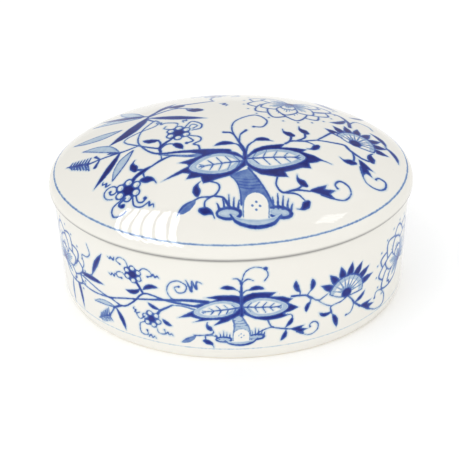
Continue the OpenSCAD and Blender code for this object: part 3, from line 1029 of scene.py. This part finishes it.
def buildLid():
    s = lidShape
    seat = s["seat"]
    edge = s["edge"]
    soft = s["softEdge"]
    fine = ovalShape["fineSteps"]
    side, up = spoke(90 - s["rimSlope"])
    domeSide, domeUp = spoke(90 - s["domeSlope"])
    rimCentre = (s["radius"] - s["rimRoll"], seat + edge + s["rimStraight"])
    grow = s["rimRoll"] - s["shoulder"]
    shoulder = (rimCentre[0] + grow * side, rimCentre[1] + grow * up)
    domeX = shoulder[0] + s["shoulder"] * domeSide
    domeRadius = domeX / domeSide
    domeZ = shoulder[1] + s["shoulder"] * domeUp - domeRadius * domeUp
    crestZ = domeZ + math.sqrt(domeRadius ** 2 - s["crest"] ** 2)
    rings = [(0, crestZ, 1)]

    def add(points, steps):
        rings.extend((x, z, steps) for x, z in points)

    # dome, shoulder and rolled rim
    count = int(domeX / ovalShape["finePitch"])
    for k in range(1, count + 1):
        r = domeX * k / count
        steps = fine
        while steps > fine // 32 and r <= steps * s["widestStep"]:
            steps //= 2
        rings.append((r, min(crestZ, domeZ + math.sqrt(domeRadius ** 2 - r * r)), steps))
    add(arcPoints(shoulder, s["shoulder"], 90 - s["domeSlope"], 90 - s["rimSlope"], 14)[1:], fine)
    add(arcPoints(rimCentre, s["rimRoll"], 90 - s["rimSlope"], 0, 11)[1:], fine)
    lower = arcPoints((s["radius"] - edge, seat + edge), edge, 0, -90, 5)
    add(lower[:3], fine // 2)
    # seat, flange and the vault inside
    add(lower[3:] + [(s["flangeRadius"], seat)], fine // 4)
    foot = seat - s["flangeDepth"]
    inner = s["flangeRadius"] - s["flangeThick"]
    add(arcPoints((s["flangeRadius"] - soft, foot + soft), soft, 0, -90, 4), fine // 4)
    add(arcPoints((inner + soft, foot + soft), soft, 270, 180, 4), fine // 4)
    vault = domeRadius - s["thick"]
    for r, n in ((inner, 224), (46, 224), (41, 224), (35, 112), (28, 112), (20, 112), (12, 56), (5, 56),
                 (0, 1)):
        rings.append((r, domeZ + math.sqrt(vault ** 2 - r * r), n))
    piece = turnedOval("lid_porcelain", rings)
    co, radius = placesOf(piece)
    level = domeZ + np.sqrt(np.maximum(domeRadius ** 2 - radius ** 2, 0))
    outside = (co[:, 2] > level - 1.5) & (co[:, 2] > seat + 1.0)
    art = newPainting(np.where(outside[:, None], co[:, :2], outOfReach))
    lidPainting(art)
    for layer in paintLayers:
        art[layer] = np.where(radius < s["paintRadius"], art[layer], noPaint)
    line = 0.24 - np.abs(radius - s["borderLine"])
    art["blue"] = np.where(outside, np.maximum(art["blue"], line), art["blue"])
    load = np.where(radius > 57.0, 1.0 - 0.15 * np.clip(-co[:, 1] / 48, 0, 1), 1.0)
    seatFace = (np.abs(co[:, 2] - seat) < 0.4) & (radius > s["flangeRadius"] - 0.1)
    bare = seatFace * np.clip((seat + 0.35 - co[:, 2]) / 0.25, 0, 1)
    # painted shade on the lid's lower edge, for the shadow in the joint above the body
    seamShadow = np.clip((seat + 1.3 - co[:, 2]) / 0.9, 0, 1) * (radius > s["radius"] - 1.4)
    keepPainting(piece, art, bare, seamShadow, load)
    return piece


porcelain = paintedPorcelain("painted_porcelain")

bodyPiece = buildBody()
bodyPiece.data.materials.append(porcelain)
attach(bodyPiece, "body")
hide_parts("box_body")
print("body made:", len(bodyPiece.data.polygons), "faces")

lidPiece = buildLid()
lidPiece.data.materials.append(porcelain)
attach(lidPiece, "cover")
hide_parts("lid")
print("lid made:", len(lidPiece.data.polygons), "faces")


studio = {
    "floorSize": 4.0,       # metres, like the sizes and spots of the lights
    "floorTone": (0.97, 0.97, 0.965, 1),
    "floorRough": 0.6,
    "floorGlow": 0.04,
    "worldTone": (1.0, 1.0, 1.0, 1),
    "worldLevel": 0.86,
}


def layFloor():
    half = studio["floorSize"] / 2
    mesh = bpy.data.meshes.new("floor")
    corners = [(-half, -half, 0), (half, -half, 0), (half, half, 0), (-half, half, 0)]
    mesh.from_pydata(corners, [], [(0, 1, 2, 3)])
    floor = bpy.data.objects.new("floor", mesh)
    bpy.context.scene.collection.objects.link(floor)
    material = bpy.data.materials.new("pale_floor")
    material.use_nodes = True
    shader = material.node_tree.nodes["Principled BSDF"]
    shader.inputs["Base Color"].default_value = studio["floorTone"]
    shader.inputs["Roughness"].default_value = studio["floorRough"]
    shader.inputs["Emission Color"].default_value = studio["floorTone"]
    shader.inputs["Emission Strength"].default_value = studio["floorGlow"]
    mesh.materials.append(material)


def setWorld():
    world = bpy.data.worlds.new("room")
    bpy.context.scene.world = world
    world.use_nodes = True
    back = world.node_tree.nodes["Background"]
    back.inputs["Color"].default_value = studio["worldTone"]
    back.inputs["Strength"].default_value = studio["worldLevel"]


def standAt(thing, right, up, back, spot):
    # turns and moves a light or the camera, which looks along minus back
    columns = [*right, 0], [*up, 0], [*back, 0], [*spot, 1]
    thing.matrix_world = Matrix(columns).transposed()


def areaLight(name, spot, aim, wide, high, level):
    # level is how bright the face of the light is
    data = bpy.data.lights.new(name, "AREA")
    data.shape = "RECTANGLE"
    data.size = wide
    data.size_y = high
    data.energy = level * 4 * wide * high
    lamp = bpy.data.objects.new(name, data)
    bpy.context.scene.collection.objects.link(lamp)
    lamp.location = spot
    lamp.rotation_euler = (Vector(spot) - Vector(aim)).to_track_quat("Z", "Y").to_euler()
    return lamp


windowLight = {
    "spot": (-0.70, -0.29, 1.17),     # middle of the window
    "across": (0.722, -0.512, 0.462),
    "upward": (-0.063, 0.617, 0.783),
    "panes": (0.05, 0.06, 0.07, 0.09, 0.09, 0.07),
    "gap": 0.036,
    "high": 1.80,
    "level": 18.0,
}


def hangWindow():
    # tall narrow panes side by side, seen again in the glaze
    w = windowLight
    across = Vector(w["across"]).normalized()
    upward = Vector(w["upward"]).normalized()
    facing = across.cross(upward)
    along = -(sum(w["panes"]) + w["gap"] * (len(w["panes"]) - 1)) / 2
    for k, wide in enumerate(w["panes"]):
        middle = Vector(w["spot"]) + across * (along + wide / 2)
        lamp = areaLight("window_pane_%d" % (k + 1), middle, middle - facing, wide, w["high"], w["level"])
        standAt(lamp, across, upward, facing, middle)
        lamp.visible_diffuse = False      # only the reflection: the key light gives the light itself
        along += wide + w["gap"]


cameraView = {
    "aim": (0, 0, 25),        # mm
    "distance": 471.65,       # mm
    "height": 33.55,          # degrees above level
    "turn": 2.0,              # degrees round the box
    "tilt": -1.52,
    "lens": 109.57,
    "shiftX": -0.0036,
    "shiftY": -0.0308,
}


def placeCamera():
    v = cameraView
    flat, up = spoke(v["height"])
    turn = Matrix.Rotation(math.radians(v["turn"]), 3, "Z")
    back = Vector((0, -flat, up))
    right = Vector((1, 0, 0))
    top = Vector((0, up, flat))
    c, s = spoke(v["tilt"])
    data = bpy.data.cameras.new("camera")
    data.sensor_width = 36
    data.lens = v["lens"]
    data.shift_x = v["shiftX"]
    data.shift_y = v["shiftY"]
    data.clip_start = 0.01
    data.clip_end = 20
    camera = bpy.data.objects.new("camera", data)
    bpy.context.scene.collection.objects.link(camera)
    spot = turn @ (Vector(v["aim"]) + back * v["distance"]) * mm
    standAt(camera, turn @ (right * c + top * s), turn @ (top * c - right * s), turn @ back, spot)
    bpy.context.scene.camera = camera


layFloor()
setWorld()
hangWindow()
keyLight = areaLight("key_light", (-0.75, -0.55, 1.20), (0, 0, 0.03), 0.7, 1.6, 0.64)
keyLight.visible_glossy = False
rightLamp = areaLight("right_lamp", (0.60, -0.035, 0.98), (0.03, -0.03, 0.05), 0.25, 0.20, 6.0)
rightLamp.visible_diffuse = False
areaLight("front_light", (-0.1, -1.7, 0.55), (0, 0, 0.02), 2.0, 0.9, 0.75)
areaLight("right_light", (1.6, -0.7, 0.6), (0, 0, 0.02), 1.2, 0.9, 0.64)
areaLight("top_light", (0.2, 0.6, 1.8), (0, 0, 0.02), 1.8, 1.2, 0.50)
placeCamera()
bpy.context.scene.view_settings.view_transform = "Standard"
print("stage set")
